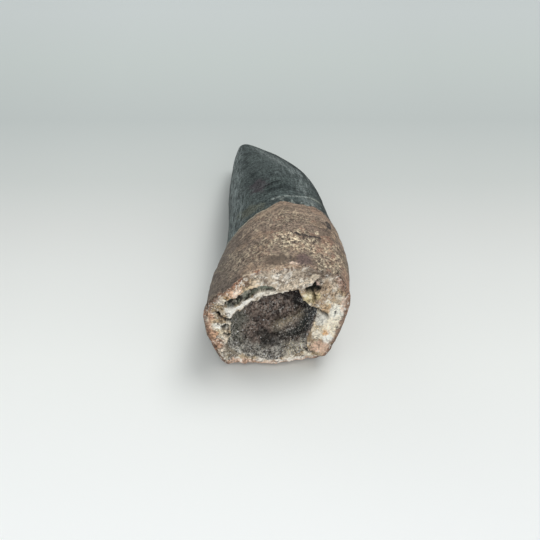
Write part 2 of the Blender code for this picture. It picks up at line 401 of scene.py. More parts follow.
FIRST_BREAK_ROW = len(LIP_INSETS) + LIP_ROWS + ROOT_ROWS
FIRST_CAVITY_ROW = FIRST_BREAK_ROW + BREAK_ROWS
ROOT, BREAK, CAVITY = range(3)
angles = np.linspace(0, 2 * math.pi, ROOT_COLUMNS, endpoint=False)
rim_station = station_where(break_y, angles, ROOT_STEP)
margin_station = station_where(margin_y, angles, ROOT_STEP)


def lip_row(inset):
    """A ring under the root's lip, drawn in towards the middle by a share."""
    ring = skin(margin_station - LIP_SETBACK, angles, ROOT_STEP)
    centre = ring.mean(axis=0)
    row = ring + (centre - ring) * inset
    row[:, 2] = np.maximum(row[:, 2], 0)
    return row


rows = [lip_row(share) for share in LIP_INSETS]
for row in range(LIP_ROWS):
    turn = math.pi / 2 * row / LIP_ROWS
    rows.append(skin(margin_station - LIP_CURVE * (1 - math.cos(turn)), angles, ROOT_STEP * math.sin(turn)))
lip_station = margin_station - LIP_CURVE
for row in range(ROOT_ROWS):
    done = row / (ROOT_ROWS - 1)
    rows.append(skin(lip_station + (rim_station - lip_station) * done, angles, ROOT_STEP))
rim = rows[-1]
mouth = mouth_outline(angles)
for row in range(1, BREAK_ROWS + 1):
    done = row / BREAK_ROWS
    x, z = (rim[:, [0, 2]] + (mouth - rim[:, [0, 2]]) * done).T
    rows.append(joined(x, break_y(x, z), z))
mouth_row = rows[-1]
for row in range(1, CAVITY_ROWS):
    depth = math.sin(math.pi / 2 * row / CAVITY_ROWS)
    narrowed = (1 - depth**CAVITY_SQUARENESS) ** (1 / CAVITY_SQUARENESS)
    centre = np.array(MOUTH_CENTRE) + (np.array(CAVITY_END) - MOUTH_CENTRE) * depth
    x, z = (centre + (mouth_row[:, [0, 2]] - MOUTH_CENTRE) * narrowed).T
    y = mouth_row[:, 1] * (1 - depth) + CAVITY_DEPTH * depth
    rows.append(joined(x, y, z + cavity_floor_rise(x, y, z)))
points = np.array(rows)
zones = np.repeat([ROOT, BREAK, CAVITY], [FIRST_BREAK_ROW, BREAK_ROWS, CAVITY_ROWS - 1])


def grid_normals(grid, outward):
    """Unit normals of a grid of rows closed around; outward is 1 or -1."""
    along = np.gradient(grid, axis=0)
    around = np.roll(grid, -1, axis=1) - np.roll(grid, 1, axis=1)
    normal = np.cross(around, along) * outward
    return normal / np.maximum(np.linalg.norm(normal, axis=-1, keepdims=True), 1e-9)


def blob(points, centre, size, seed, ragged=0.35):
    """A ragged spot from 0 to 1 about a centre; size is its half width along x, y and z."""
    distance = np.linalg.norm((points - centre) / size, axis=-1)
    distance = distance + ragged * mottle(points, 1.6, seed, 3)
    return ramp_down(distance, 0.55, 1.15)


x, y, z = np.moveaxis(points, -1, 0)
zone = np.repeat(zones[:, None], ROOT_COLUMNS, axis=1)
on_root, on_break, in_cavity = zone == ROOT, zone == BREAK, zone == CAVITY
from_margin = margin_y(x, z) - y
from_rim = y - rim[None, :, 1]
through_wall = np.zeros_like(x)
through_wall[FIRST_BREAK_ROW:FIRST_CAVITY_ROW] = np.arange(1, BREAK_ROWS + 1)[:, None] / BREAK_ROWS

# The right edge of the break is worn back low down, and stands out a little at
# its top. x is a view of the points, so it moves with them.
WEAR_HEIGHTS = (0.0, 6.0, 12.0, 16.0, 19.0, 22.0)
WEAR_DEPTHS = (0.7, 0.75, 0.4, 0.1, 0.0, -0.35)
worn_right = np.interp(z, WEAR_HEIGHTS, WEAR_DEPTHS) * ramp_up(x, 9.0, 13.0)
worn_right = worn_right * ramp_down(from_rim, 3.0, 9.0) * np.clip(1 - 2 * through_wall, 0, 1) * ~in_cavity
points[..., 0] -= worn_right

# Pale limy crust on the upper face, two smooth scars in it, and a hairline crack.
crust = np.maximum.reduce([
    blob(points, (4.0, 12.4, 27.5), (6.8, 4.6, 9.0), 21, 0.5),
    0.45 * blob(points, (-5.0, 9.0, 26.0), (5.0, 4.0, 9.0), 22, 0.6),
    0.7 * blob(points, (11.8, 7.5, 25.0), (4.0, 5.5, 9.0), 23, 0.6),
    0.3 * blob(points, (-10.0, 9.0, 22.0), (4.0, 6.0, 9.0), 24, 0.7),
    0.35 * blob(points, (0.0, 21.0, 26.0), (9.0, 4.0, 9.0), 20, 0.7),
])
veins = ramp_down(np.abs(mottle(points, 0.85, 38, 2)), 0.05, 0.26)
upper_side = ramp_up(z, 15, 22)
band = ramp_down(from_rim + 1.0 * mottle(points, 2.6, 25), 0.1, 1.9) * upper_side * ramp_down(x, 7.0, 12.0)
scar = np.maximum(
    blob(points, (-0.6, 4.9, 28.0), (3.0, 2.0, 6.0), 26, 0.35),
    0.7 * blob(points, (5.9, 4.6, 28.0), (2.4, 2.0, 6.0), 27, 0.4),
)
HAIRLINE = ((4.1, 14.1), (5.7, 13.7), (7.5, 13.3), (9.6, 13.6))
hairline_here = ramp_down(line_distance(HAIRLINE, x, y) + 0.25 * mottle(points, 0.9, 28), 0.25, 0.6)
hairline_here = hairline_here * ramp_up(z, 20, 24) * on_root
growth = mottle(joined(from_margin / 0.9, 0.05 * x, 0), 1.0, 31, 3)
holes = pits(points, 1.3, 0.4, 33) * patchy(-0.3, 0.4, points, 5.0, 34, 2)
relief_root = (
    0.10 * mottle(points, 6.0, 35)
    + 0.09 * mottle(points, 2.2, 30)
    + 0.035 * growth
    + 0.05 * mottle(points, 0.75, 32, 2)
    + 0.10 * crust * mottle(points, 0.95, 36, 2)
    + 0.20 * crust * veins
    - 0.10 * scar
    - 0.25 * holes * (0.4 + 0.6 * crust)
    - 0.35 * hairline_here
    + 0.16 * band * mottle(points, 1.1, 37, 2)
)
pores = pits(points, 1.0, 0.35, 44)
warped = points + 0.35 * mottle(points, 1.0, 40, 2)[..., None]
break_chip, break_seam = chips(warped, 1.5, 400)
mud_chip, mud_seam = chips(warped, 1.2, 500)
relief_break = (
    0.20 * mottle(points, 2.5, 41)
    + 0.16 * break_chip
    + 0.10 * mottle(points, 0.6, 42, 2)
    + 0.06 * mottle(joined(through_wall * 9, 0.3 * x, 0.3 * z), 1.0, 43, 2)
    - 0.26 * pores
)
relief_cavity = (
    0.40 * mottle(points, 3.0, 51)
    + 0.20 * mud_chip
    + 0.16 * mottle(points, 0.8, 52)
    + 0.12 * mottle(points, 0.5, 53, 2)
)
rim_worn = bell(from_rim, 1.0) * on_root + bell(through_wall, 0.2) * on_break
relief = np.where(on_root, relief_root, np.where(on_break, relief_break, relief_cavity))
relief = relief - rim_worn * (0.25 + 0.3 * upper_side * ramp_down(x, 11.0, 14.0))
relief = relief * ramp_up(z, 0.0, 1.2)
relief[:len(LIP_INSETS)] = 0
root_grid = points + grid_normals(points, -1) * relief[..., None]
root_grid[..., 2] = np.maximum(root_grid[..., 2], 0)

# The tooth's own millimetres are set into the frame by its widest edge and its tip.
widest_x = skin(np.linspace(0, 30, 200), np.zeros(200), ROOT_STEP)[:, 0].max()
cap_stations, cap_angles = np.meshgrid(np.linspace(CAP_START, LENGTH, 60), np.linspace(0, 2 * math.pi, 181))
furthest_y = skin(cap_stations, cap_angles)[..., 1].max()
cad_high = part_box("tooth")[1]
ORIGIN = np.array([widest_x - cad_high[0] / MM, furthest_y - cad_high[1] / MM, 0.0])


def in_frame(places):
    """The tooth's own millimetres as places in the frame, in metres."""
    return ((places - ORIGIN) * MM).tolist()


def linear(hex_colour):
    """Linear red, green, blue and alpha from an sRGB hex colour."""
    parts = [int(hex_colour[k:k + 2], 16) / 255 for k in (0, 2, 4)]
    return [v / 12.92 if v <= 0.04045 else ((v + 0.055) / 1.055) ** 2.4 for v in parts] + [1.0]


def paint(tint, *coats):
    """Mixes colours into an array of colours, one after another, each by its mask from 0 to 1."""
    for hex_colour, mask in coats:
        tint = tint + (np.array(linear(hex_colour)[:3]) - tint) * np.clip(mask, 0, 1)[..., None]
    return tint


def one_colour(places, hex_colour):
    """An array with the same colour for every place."""
    return np.zeros(places.shape) + linear(hex_colour)[:3]


def quads_between(row_count, columns):
    """Faces between rows of points, each row closed around."""
    row, column = np.meshgrid(np.arange(row_count - 1), np.arange(columns), indexing="ij")
    after = (column + 1) % columns
    corners = [row * columns + column, row * columns + after,
               (row + 1) * columns + after, (row + 1) * columns + column]
    return np.stack(corners, axis=-1).reshape(-1, 4).tolist()


def add_object(name, data):
    """A new object in the scene with the given mesh, lamp or camera."""
    made = bpy.data.objects.new(name, data)
    bpy.context.collection.objects.link(made)
    return made


def closed_piece(name, grid, first_pole, last_pole, slot_of_row, tint, numbers):
    """A closed mesh from rows of points, in millimetres, with a pole at each end.

    tint is a colour and each of numbers a value for every point.
    """
    row_count, columns = grid.shape[:2]
    vertices = np.concatenate([grid.reshape(-1, 3), [first_pole, last_pole]])
    ring = np.arange(columns)
    pole = row_count * columns
    start_fan = np.stack([np.roll(ring, -1), ring, np.full(columns, pole)], axis=-1)
    last = (row_count - 1) * columns + ring
    end_fan = np.stack([last, np.roll(last, -1), np.full(columns, pole + 1)], axis=-1)
    mesh = bpy.data.meshes.new(name)
    faces = quads_between(row_count, columns) + start_fan.tolist() + end_fan.tolist()
    mesh.from_pydata(in_frame(vertices), [], faces)
    slots = np.concatenate([np.repeat(slot_of_row, columns), np.full(columns, slot_of_row[0]),
                            np.full(columns, slot_of_row[-1])])
    mesh.polygons.foreach_set("material_index", slots.astype(np.int32))
    mesh.shade_smooth()
    colours = np.concatenate([tint.reshape(-1, 3), tint[0, :1], tint[-1, :1]])
    colours = np.concatenate([colours, np.ones((len(colours), 1))], axis=1)
    mesh.attributes.new("tint", "FLOAT_COLOR", "POINT").data.foreach_set("color", colours.ravel())
    for label, values in numbers.items():
        values = np.concatenate([np.ravel(values), [0.0, 0.0]])
        mesh.attributes.new(label, "FLOAT", "POINT").data.foreach_set("value", values)
    mesh.update()
    return add_object(name, mesh)


# Colours of the root's skin: mottled browns, streaks on the left.
left_streaks = mottle(joined(x + 0.5 * y, 0.12 * (y - x), 0), 0.9, 18, 2)
smooth_crest = ramp_down(from_margin + 0.8 * mottle(points, 2.0, 14), 2.5, 5.0)
ring_light = bell(from_margin - 0.3, 0.25) * ramp_down(x, -5.0, -1.0)
fine_growth = mottle(joined(from_margin / 0.4, 0.15 * x, 0), 1.0, 39, 2)
lined = (0.4 + 0.6 * ramp_down(from_margin, 5.0, 12.0)) * (1 - 0.7 * crust)
lined = lined * (0.4 + 0.6 * ramp_up(x, -11.0, -5.0))
pepper = pits(points, 0.8, 0.45, 600) * patchy(-0.5, 0.3, points, 4.0, 601, 2)
scar_rim = blob(points, (-0.6, 5.2, 28.0), (4.0, 2.9, 6.0), 26, 0.35) * (1 - scar)
fringe = bell(from_rim, 0.8) * patchy(-0.1, 0.4, points, 2.2, 16)
fringe = fringe * np.maximum(1 - 0.75 * upper_side, ramp_down(x, -5.0, 0.0))
right_stain = ramp_up(x, 13.6, 15.4) * ramp_down(from_rim + 2 * mottle(points, 2.0, 17), 3.0, 8.0)
PITTED_EDGE = ((12.0, 19.6), (12.6, 21.4), (12.4, 23.2))
edge_pits = ramp_down(line_distance(PITTED_EDGE, x, y) + 0.5 * mottle(points, 0.9, 29, 2), 0.1, 0.6)
root_tint = paint(
    one_colour(points, "79685A"),
    ("5A4A3E", 0.8 * patchy(0.0, 0.4, points, 4.0, 11)),
    ("97816B", 0.75 * patchy(0.1, 0.45, points, 2.2, 12)),
    ("8A6450", 0.5 * patchy(0.2, 0.6, points, 3.0, 10) * ramp_up(x, -6.0, 0.0)),
    ("5E5546", 0.6 * patchy(0.1, 0.7, points, 5.4, 13) * ramp_up(x, -4.0, 4.0)),
    ("584F47", 0.8 * ramp_down(x, -13.0, -5.0)),
    ("8A7F6C", 0.4 * ramp_up(left_streaks, 0.35, 0.7) * ramp_down(x, -8.0, -2.0)),
    # The smooth crest and the growth lines at the margin, and the limy crust.
    ("8C7765", 0.6 * smooth_crest * ramp_up(x, -8.0, -3.0)),
    ("6B6857", 0.6 * bell(from_margin, 1.0) * ramp_down(x, -3.0, 1.0)),
    ("665648", 0.55 * crust * (1 - veins) * patchy(-0.1, 0.5, points, 0.9, 15, 2)),
    ("E2D3B4", 0.9 * crust * veins),
    ("A8947F", 0.8 * band * ramp_down(x, 3.0, 8.0) * ramp_up(x, -9.0, -6.0)),
    ("57463B", 0.7 * ramp_down(from_rim, 1.0, 3.0) * ramp_down(x, -9.0, -6.5) * upper_side),
    ("B4AE9C", 0.8 * ring_light),
    ("A08C76", 0.45 * ramp_up(fine_growth, 0.15, 0.6) * lined),
    ("4A3E35", 0.40 * ramp_up(-fine_growth, 0.15, 0.6) * lined),
    # Dark flecks, the two scars and their chalky rims.
    ("332A24", 0.7 * ramp_up(pepper, 0.1, 0.5) * on_root),
    ("66574A", 0.5 * blob(points, (-1.5, 4.6, 28.0), (6.0, 2.6, 6.0), 46, 0.5)),
    ("5C4F42", 0.7 * scar),
    ("63504D", 0.75 * blob(points, (5.9, 4.6, 28.0), (2.4, 2.1, 6.0), 19, 0.35)),
    ("C2B096", 0.6 * scar_rim * patchy(-0.3, 0.2, points, 1.0, 63, 2)),
    ("E6CDB8", 0.8 * blob(points, (3.2, 3.4, 28.5), (1.3, 1.1, 6.0), 64, 0.6)),
    # Rust where the root meets the break, stained and pitted at the right.
    ("9C6A50", 0.7 * fringe),
    ("8C6853", 0.55 * right_stain),
    ("2A2320", 0.95 * hairline_here),
    ("241D1C", 0.95 * edge_pits * upper_side),
    ("54473F", 0.6 * holes),
)
root_speckle = np.clip(0.08 + 0.4 * crust + 0.5 * band - 0.5 * scar, 0, 1) * (1 - hairline_here)
root_contrast = np.clip(0.75 + 0.25 * crust - 0.25 * smooth_crest - 0.3 * scar, 0, 1)

# Colours of the break, read across the broken end: cream wall, whitish band
# above, salmon blocks, rust along the outer edge, white inner layer.
near_layer = line_distance(INNER_LAYER, x, z) + 0.25 * mottle(points, 0.9, 60)
layer_half = np.interp(x, (-10.0, -8.0, -6.0, -5.2, -3.5, -1.5), (0.5, 0.3, 0.4, 0.6, 0.25, 0.1))
inner_layer = ramp_down(near_layer, layer_half, layer_half + 0.25) * (0.4 + 0.6 * ramp_down(x, -4.5, -2.5))
wedge = ramp_down(line_distance(WHITE_WEDGE, x, z) + 0.3 * mottle(points, 1.0, 61), 0.35, 0.8)
# Painted shade: the groove, the splinter hole and the cracks are painted darker the deeper they sink, and the
# pore dark.
hollow_shade = np.maximum(
    ramp_up(sunk(x, z), 0.2, 0.7),
    ramp_down(np.hypot(x - PORE[0], z - PORE[1]), 0.2, 0.4),
)
# The break's colours are read with its depth drawn in to a fifth, where a patch
# reaches right through the wall.
flat = points * (1.0, 0.2, 1.0)
PATCH_REACH = 9.0
FIRST_PATCH_SEED = 200
Patch = namedtuple("Patch", "colour strength x z half_x half_z ragged")
PATCHES = (
    # Right of the cavity: tan above, white and salmon below.
    Patch("B39C82", 0.90, 11.2, 20.9, 3.0, 3.2, 0.4),
    Patch("C2A27C", 0.85, 10.9, 17.2, 1.9, 1.5, 0.5),
    Patch("E8DCC0", 0.70, 11.4, 19.0, 0.5, 1.4, 0.4),
    Patch("FFFBEE", 0.95, 13.3, 15.6, 1.9, 4.4, 0.5),
    Patch("FFF4DE", 0.90, 12.8, 11.6, 2.8, 2.8, 0.6),
    Patch("FFFDF4", 0.90, 11.9, 8.6, 1.2, 1.8, 0.4),
    Patch("F2D8C4", 0.85, 14.9, 17.6, 0.8, 2.6, 0.5),
    Patch("DAD6CC", 0.90, 9.9, 14.3, 1.5, 2.2, 0.4),
    Patch("E0B07C", 0.90, 11.2, 9.9, 0.9, 0.8, 0.4),
    Patch("E6C4AC", 0.90, 10.2, 5.9, 3.0, 2.1, 0.4),
    # The block between the cavity and the splinter hole, with painted highlights on it and painted shade
    # along its right side, and the far corner.
    Patch("C9BA92", 0.90, 6.8, 20.0, 1.2, 1.8, 0.3),
    # A painted highlight.
    Patch("FFF6D8", 0.90, 6.4, 20.6, 0.5, 0.7, 0.6),
    Patch("A08D62", 0.80, 7.0, 19.2, 0.5, 0.6, 0.6),
    # A painted highlight.
    Patch("F6EBCB", 0.85, 7.3, 20.4, 0.3, 0.5, 0.5),
    # Painted shade along the block's right side.
    Patch("8A7A55", 0.80, 8.1, 20.0, 0.4, 1.5, 0.3),
    Patch("DCCB9C", 0.80, 9.1, 20.6, 0.5, 1.0, 0.3),
    Patch("F0D6C2", 0.90, 14.0, 23.9, 0.7, 2.0, 0.3),
    # Left of the cavity: brown and salmon outside, white inside.
    Patch("9C8565", 0.85, -13.3, 18.0, 2.0, 2.2, 0.4),
    Patch("D0A48A", 0.85, -15.2, 15.2, 1.3, 2.4, 0.5),
    Patch("FFFBEF", 0.95, -13.5, 12.0, 1.6, 1.2, 0.4),
    Patch("FBF6E9", 0.95, -11.9, 11.8, 1.2, 1.3, 0.5),
    Patch("C6987A", 0.80, -15.2, 9.4, 1.1, 3.6, 0.6),
    Patch("C79C80", 0.80, -13.4, 6.0, 1.6, 2.2, 0.6),
    Patch("F8E8D4", 0.90, -12.6, 4.6, 1.3, 1.1, 0.6),
    Patch("F3E2CC", 0.90, -12.0, 8.2, 0.9, 1.4, 0.5),
    Patch("F5F0E6", 0.95, -10.5, 17.0, 1.2, 2.2, 0.4),
    # The shoulder at the upper left, with a painted highlight on its salmon block.
    Patch("F1E7D8", 0.85, -13.1, 21.2, 1.3, 0.8, 0.4),
    Patch("A87F4C", 0.90, -11.0, 22.5, 0.9, 0.8, 0.3),
    Patch("F0C4A2", 0.95, -9.4, 24.0, 2.0, 1.5, 0.2),
    # A painted highlight on the salmon block.
    Patch("FFECD8", 0.90, -8.9, 23.9, 1.2, 0.9, 0.3),
    Patch("7F614D", 0.85, -6.8, 25.0, 0.9, 1.2, 0.4),
    Patch("F1DCBE", 0.95, -4.9, 24.5, 1.4, 1.1, 0.4),
)
upper_band = ramp_up(z, 21.5, 23.0) * ramp_up(x, -6.0, -3.0)
shelf = ramp_up(z + 0.5 * mottle(flat, 2.0, 76), 24.6, 25.6) * ramp_up(x, 5.0, 8.0)
tint = paint(
    one_colour(points, "D2BD9C"),
    ("A08A6E", 0.75 * patchy(0.0, 0.4, flat, 2.4, 45)),
    # Cream patches, partly the wall's colour and partly painted highlights.
    ("FFF6E4", 0.85 * patchy(0.05, 0.25, flat, 1.8, 46)),
    # Painted light and shade: chips paler where they stand high, darker where they sink.
    ("F3E8D2", 0.5 * ramp_up(break_chip, 0.2, 0.6)),
    ("8F7A62", 0.5 * ramp_up(-break_chip, 0.2, 0.7)),
    # The whitish band and the brown shelf above the cavity.
    ("CBBBA8", 0.85 * upper_band),
    ("7E6E5F", 0.75 * upper_band * patchy(0.0, 0.5, flat, 1.3, 78)),
    ("F4ECE0", 0.85 * upper_band * patchy(0.15, 0.4, flat, 0.9, 79)),
    ("76675A", 0.85 * shelf),
)
for index, patch in enumerate(PATCHES):
    centre, half = (patch.x, 0, patch.z), (patch.half_x, PATCH_REACH, patch.half_z)
    spot = blob(flat, centre, half, FIRST_PATCH_SEED + index, patch.ragged)
    tint = paint(tint, (patch.colour, patch.strength * spot))
flaked = 0.5 + 0.5 * patchy(-0.25, 0.15, points, 0.8, 62, 2)
mouth_lip = ramp_up(through_wall, 0.93, 0.98)
outer_edge = ramp_down(through_wall + 0.06 * mottle(points, 1.3, 74), 0.04, 0.18)
outer_edge = outer_edge * np.maximum(1 - upper_side, ramp_up(np.abs(x), 11.0, 14.0))
stained_rim = ramp_down(through_wall + 0.1 * mottle(points, 1.8, 75), 0.03, 0.12)
seams = ramp_down(break_seam, 0.05, 0.22) * patchy(-0.3, 0.4, points, 2.2, 80, 2)
in_groove = ramp_up(sunk(x, z), 0.7, 1.0) * ramp_down(x, 2.0, 4.0) * ramp_up(z, 16.5, 18.0)
groove_grey = np.maximum(patchy(0.05, 0.3, points, 1.0, 77, 2), ramp_up(x, -6.0, -3.5))
block_crack_shade = hollow_shade * ramp_down(line_distance(BLOCK_CRACK, x, z), 0.3, 0.7)
break_tint = paint(
    tint,
    # The foot of the wall.
    ("EBC4AA", 0.85 * ramp_down(z + 0.5 * mottle(flat, 1.5, 68), 1.2, 2.4)),
    ("FFF8EC", 0.95 * ramp_down(np.abs(z - 1.7), 0.4, 0.8) * patchy(-0.5, -0.1, flat, 1.3, 69)),
    ("8C6F5C", 0.6 * ramp_down(z, 1.0, 2.6) * patchy(0.25, 0.5, flat, 0.9, 67)),
    ("7A5F4C", 0.8 * ramp_down(z, 0.5, 1.0)),
    ("857C6E", 0.85 * blob(flat, (-10.9, 0, 4.2), (1.9, PATCH_REACH, 2.2), 73, 0.6)),
    # The inner layer, the wedge above it, and the pale lip of the mouth.
    ("FCF8F0", 0.95 * inner_layer * flaked),
    ("EAD9C2", 0.9 * wedge),
    ("FBF3E4", 0.9 * mouth_lip * ramp_up(z, 18.5, 20.5) * (x < 2)),
    # Rust along the outer edge, dark seams and pores, and painted shade in the hollows.
    ("7C5B4A", 0.85 * outer_edge),
    ("8F7460", 0.6 * stained_rim * upper_side * ramp_down(x, -6.0, -2.0)),
    ("5E4E40", 0.65 * seams * (1 - 0.6 * ramp_up(x, 9.0, 11.0))),
    ("55483E", 0.7 * pores),
    # Painted shade in the groove, the hole, the cracks and the pore.
    ("1B1D1A", 0.95 * hollow_shade),
    ("8F9586", 0.9 * in_groove * groove_grey),
    ("D5CFC0", 0.85 * in_groove * patchy(0.35, 0.5, points, 0.8, 81, 2)),
    # Painted shade along the mouth's edge at the upper left.
    ("1B1D1A", 0.9 * mouth_lip * (x < -8.6) * ramp_up(z, 13.0, 13.8)),
    # Painted shade, lighter grey inside the splinter hole.
    ("45443F", 0.8 * hollow_shade * blob(flat, (8.8, 0, 22.0), (0.7, PATCH_REACH, 0.9), 47, 0.2)),
    ("B0948A", 0.85 * blob(flat, (8.9, 0, 23.7), (0.5, PATCH_REACH, 0.7), 82, 0.2)),
    # Painted shade, olive, along the crack beside the block.
    ("6E6344", 0.8 * block_crack_shade * ramp_down(z, 20.8, 21.4)),
)
brightness = break_tint @ np.array([0.21, 0.72, 0.07])
broken_up = 0.45 + 0.55 * patchy(-0.3, 0.4, points, 2.2, 85, 2)
break_contrast = np.clip(1.15 - 0.8 * brightness, 0.5, 1.0) * broken_up * (1 - 0.6 * inner_layer)

# Colours of the mud: purple-brown at the back, greenish on the left, gritty
# white and grey at the front, cream at the front right and tan on the ridge,
# partly a painted highlight. Painted shade darkens the roof, the back right
# under the overhang, and the gap beside the ridge.
ridge_here = bell(line_distance(RIDGE_LINE, x, y) + 0.4 * mottle(points, 1.2, 54), 1.0)
gap_shade = bell(line_distance(GAP_LINE, x, y), 1.6)
low_down = ramp_down(z, 6.0, 9.5)
front = ramp_down(y + 1.0 * mottle(points, 1.6, 55), 1.8, 4.2) * ramp_down(z, 4.0, 7.0)
mud_tint = paint(
    one_colour(points, "A18F84"),
    ("4A403D", 0.85 * patchy(-0.1, 0.5, points, 1.3, 56)),
    ("C0AFA2", 0.8 * patchy(0.25, 0.7, points, 0.8, 57)),
    ("858B80", 0.7 * ramp_down(x + mottle(points, 2.0, 58), -9.0, -6.0)),
    # Painted shade: darker towards the cavity's roof.
    ("352F2F", 0.85 * ramp_up(z, 12.5, 16.5)),
    ("555D60", 0.85 * ramp_up(x, 5.0, 7.5) * ramp_up(y, 1.0, 3.0)),
    ("2E302D", 0.8 * blob(points, (-1.6, 5.0, 3.0), (3.6, 3.2, 4.0), 50, 0.4)),
    # Painted shade beneath the overhang at the back right and along the roof.
    ("1E1C1B", 0.9 * blob(points, (5.8, 13.6, 7.4), (1.7, 2.6, 2.2), 48, 0.4)),
    ("302A2A", 0.75 * ramp_up(z, 5.6, 7.4) * ramp_up(y, 11.0, 13.5)),
    ("DCD8CC", 0.85 * front),
    ("34312F", 0.65 * front * patchy(0.0, 0.25, points, 1.0, 59)),
    ("FFF4DC", 0.95 * front * ramp_up(x, 0.5, 3.0)),
    ("2B2725", 0.4 * ramp_down(mud_seam, 0.04, 0.2)),
    # Painted shade in the gap beside the ridge.
    ("3D4744", 0.85 * gap_shade * low_down),
    # Tan along the ridge, partly a painted highlight.
    ("CDBFA6", 0.8 * ridge_here * low_down),
)
tint = np.where(on_root[..., None], root_tint, np.where(on_break[..., None], break_tint, mud_tint))
break_speckle = 0.6 * (1 - hollow_shade) * patchy(-0.1, 0.5, points, 2.6, 83, 2)
gritty = patchy(-0.3, 0.4, points, 2.6, 84, 2)
mud_speckle = 0.15 + 0.5 * gritty + 0.5 * front
speckle = np.where(on_root, root_speckle, np.where(on_break, break_speckle, mud_speckle))
contrast = np.where(on_root, root_contrast, np.where(on_break, break_contrast, 0.5 + 0.5 * gritty))

root_piece = closed_piece(
    "root", root_grid, root_grid[0].mean(axis=0), (CAVITY_END[0], CAVITY_DEPTH, CAVITY_END[1]),
    zones[1:], tint, {"speckle": speckle, "contrast": contrast},
)


def add(tree, kind, sockets=None, stops=None, **settings):
    """Adds a node with its settings; a socket takes a value or a link. stops are a ramp's."""
    node = tree.nodes.new(kind)
    for setting, value in settings.items():
        setattr(node, setting, value)
    for socket, value in (sockets or {}).items():
        if isinstance(value, bpy.types.NodeSocket):
            tree.links.new(value, node.inputs[socket])
        else:
            node.inputs[socket].default_value = value
    for index, (place, colour) in enumerate(stops or ()):
        ramp = node.color_ramp.elements
        stop = ramp[index] if index < 2 else ramp.new(place)
        stop.position = place
        stop.color = linear(colour)
    return node


def start_material(name, roughness):
    """A material with only its shader and output, and the object's own coordinates."""
    material = bpy.data.materials.new(name)
    material.use_nodes = True
    tree = material.node_tree
    shader = tree.nodes["Principled BSDF"]
    shader.inputs["Roughness"].default_value = roughness
    place = add(tree, "ShaderNodeTexCoord").outputs["Object"]
    return material, tree, shader, place


def per(millimetres):
    """The noise scale that makes lumps this many millimetres across."""
    return 1 / (millimetres * MM)


# Brown root: dentine turned to stone under a skin of cementum, dull and matt,
# with a gritty pale crust that catches the light in specks.
# Broken dentine: cream stone with a rough, sugary fracture that scatters light.
# Hardened mud: dark silt packed with pale mineral grains that glint.
Stone = namedtuple("Stone", "name roughness lump dark light speck speck_size bump")
for stone in (
    Stone("mineralised root dentine", 0.75, 0.6, 0.35, 1.6, "E3D4B8", 0.55, 0.00020),
    Stone("fractured dentine", 0.8, 0.55, 0.25, 1.55, "FFFAF0", 0.6, 0.00030),
    Stone("hardened mud", 0.65, 0.55, 0.15, 2.1, "F4F0E8", 0.5, 0.00034),
):
    material, tree, shader, place = start_material(stone.name, stone.roughness)
    tint = add(tree, "ShaderNodeAttribute", attribute_name="tint").outputs["Color"]
    lumps = add(tree, "ShaderNodeTexNoise", {
        "Vector": place, "Scale": per(stone.lump), "Detail": 2.0, "Roughness": 0.8,
    }).outputs["Fac"]
    shade = add(tree, "ShaderNodeMapRange", {
        "Value": lumps, "From Min": 0.4, "From Max": 0.6, "To Min": stone.dark, "To Max": stone.light,
    }).outputs["Result"]
    strength = add(tree, "ShaderNodeAttribute", attribute_name="contrast").outputs["Fac"]
    shade = add(tree, "ShaderNodeMix", {0: strength, 2: 1.0, 3: shade}, data_type="FLOAT").outputs[0]
    shaded = add(tree, "ShaderNodeVectorMath", {0: tint, "Scale": shade}, operation="SCALE").outputs["Vector"]
    grains = add(tree, "ShaderNodeTexNoise", {
        "Vector": place, "Scale": per(stone.speck_size), "Detail": 2.0, "Roughness": 0.6, "Distortion": 0.6,
    }).outputs["Fac"]
    grains = add(tree, "ShaderNodeMapRange", {
        "Value": grains, "From Min": 0.56, "From Max": 0.6,
    }).outputs["Result"]
    amount = add(tree, "ShaderNodeAttribute", attribute_name="speckle").outputs["Fac"]
    amount = add(tree, "ShaderNodeMath", {0: grains, 1: amount}, operation="MULTIPLY").outputs["Value"]
    base = add(tree, "ShaderNodeMix", {
        0: amount, 6: shaded, 7: linear(stone.speck),
    }, data_type="RGBA").outputs[2]
    tree.links.new(base, shader.inputs["Base Color"])
    bump = add(tree, "ShaderNodeBump", {"Height": lumps, "Strength": 0.6, "Distance": stone.bump})
    tree.links.new(bump.outputs["Normal"], shader.inputs["Normal"])
    root_piece.data.materials.append(material)
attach(root_piece, "root")
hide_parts("tooth")

# --------------------------------------
# Grains. Sand of quartz and calcite that washed in with the mud and sticks
# out of it, thickest at the front of the cavity's floor, where it glints.
# --------------------------------------

GRAIN_RADIUS = 0.19
GRAINS_PER_SQUARE_MM = 3.6
GRAIN_SEED = 7
SMALLEST_GRAIN = (0.4, 0.4, 0.4)
LARGEST_GRAIN = (1.7, 1.3, 1.1)
WHOLE_TURNS = (6.28, 6.28, 6.28)

bed = root_grid[FIRST_CAVITY_ROW:]
bed_mesh = bpy.data.meshes.new("grains")
bed_mesh.from_pydata(in_frame(bed.reshape(-1, 3)), [], quads_between(len(bed), ROOT_COLUMNS))
amount = 0.25 + 0.75 * front[FIRST_CAVITY_ROW:]
bed_mesh.attributes.new("amount", "FLOAT", "POINT").data.foreach_set("value", amount.ravel())
grains_piece = add_object("grains", bed_mesh)

# Quartz and calcite sand: small grey and milky crystals, bright and half
# glossy against the mud.
sand, tree, shader, place = start_material("quartz and calcite sand", 0.3)
lightness = add(tree, "ShaderNodeAttribute", attribute_name="lightness").outputs["Fac"]
base = add(tree, "ShaderNodeValToRGB", {"Fac": lightness}, stops=(
    (0.0, "4A4340"), (1.0, "FFFFFF"), (0.35, "8E837A"), (0.65, "DDD5C9"),
)).outputs["Color"]
tree.links.new(base, shader.inputs["Base Color"])

